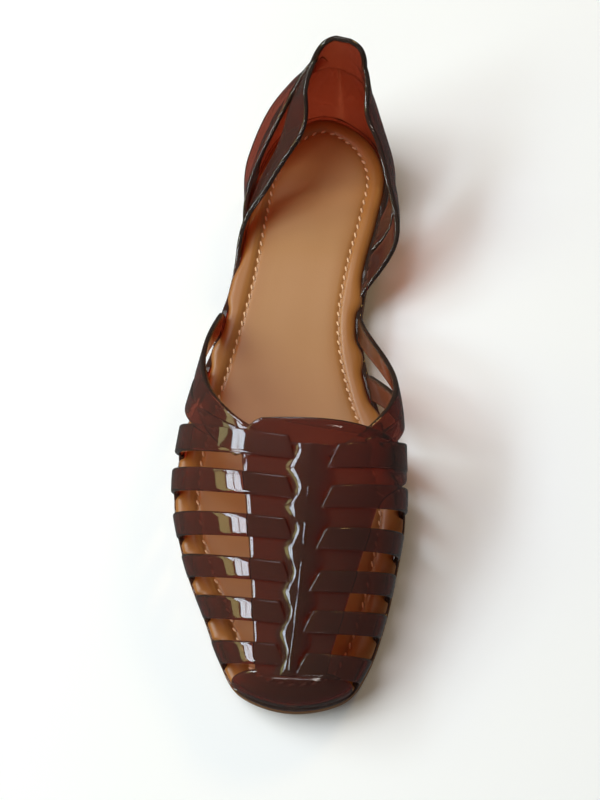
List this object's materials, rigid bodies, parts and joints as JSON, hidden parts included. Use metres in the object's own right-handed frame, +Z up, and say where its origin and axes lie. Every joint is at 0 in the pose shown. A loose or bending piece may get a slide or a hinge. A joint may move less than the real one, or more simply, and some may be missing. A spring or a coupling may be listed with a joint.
{
  "type": "huarache sandal",
  "caption": "Flat closed-toe huarache sandal for the right foot: glossy translucent moulded strips, open sides and collar, stitched tan insole, thin outsole and low heel.",
  "frame": {"origin": "middle of the sandal's bounding box at floor level", "axes": "+Z up from the floor, the toe points to -Y and the heel to +Y, the outer side of the right foot is at -X and the inner side at +X"},
  "size_m": [0.0886, 0.2508, 0.0708],
  "materials": {
    "pvc": "glossy translucent moulded soft PVC, dark tortoise brown",
    "insole_cover": "smooth tan coated cover with a stitched edge",
    "sole_rubber": "matt brown moulded rubber"
  },
  "bodies": {
    "root": {"upper": "pvc", "insole": "insole_cover", "outsole": "sole_rubber", "heel": "sole_rubber"}
  },
  "joints": []
}
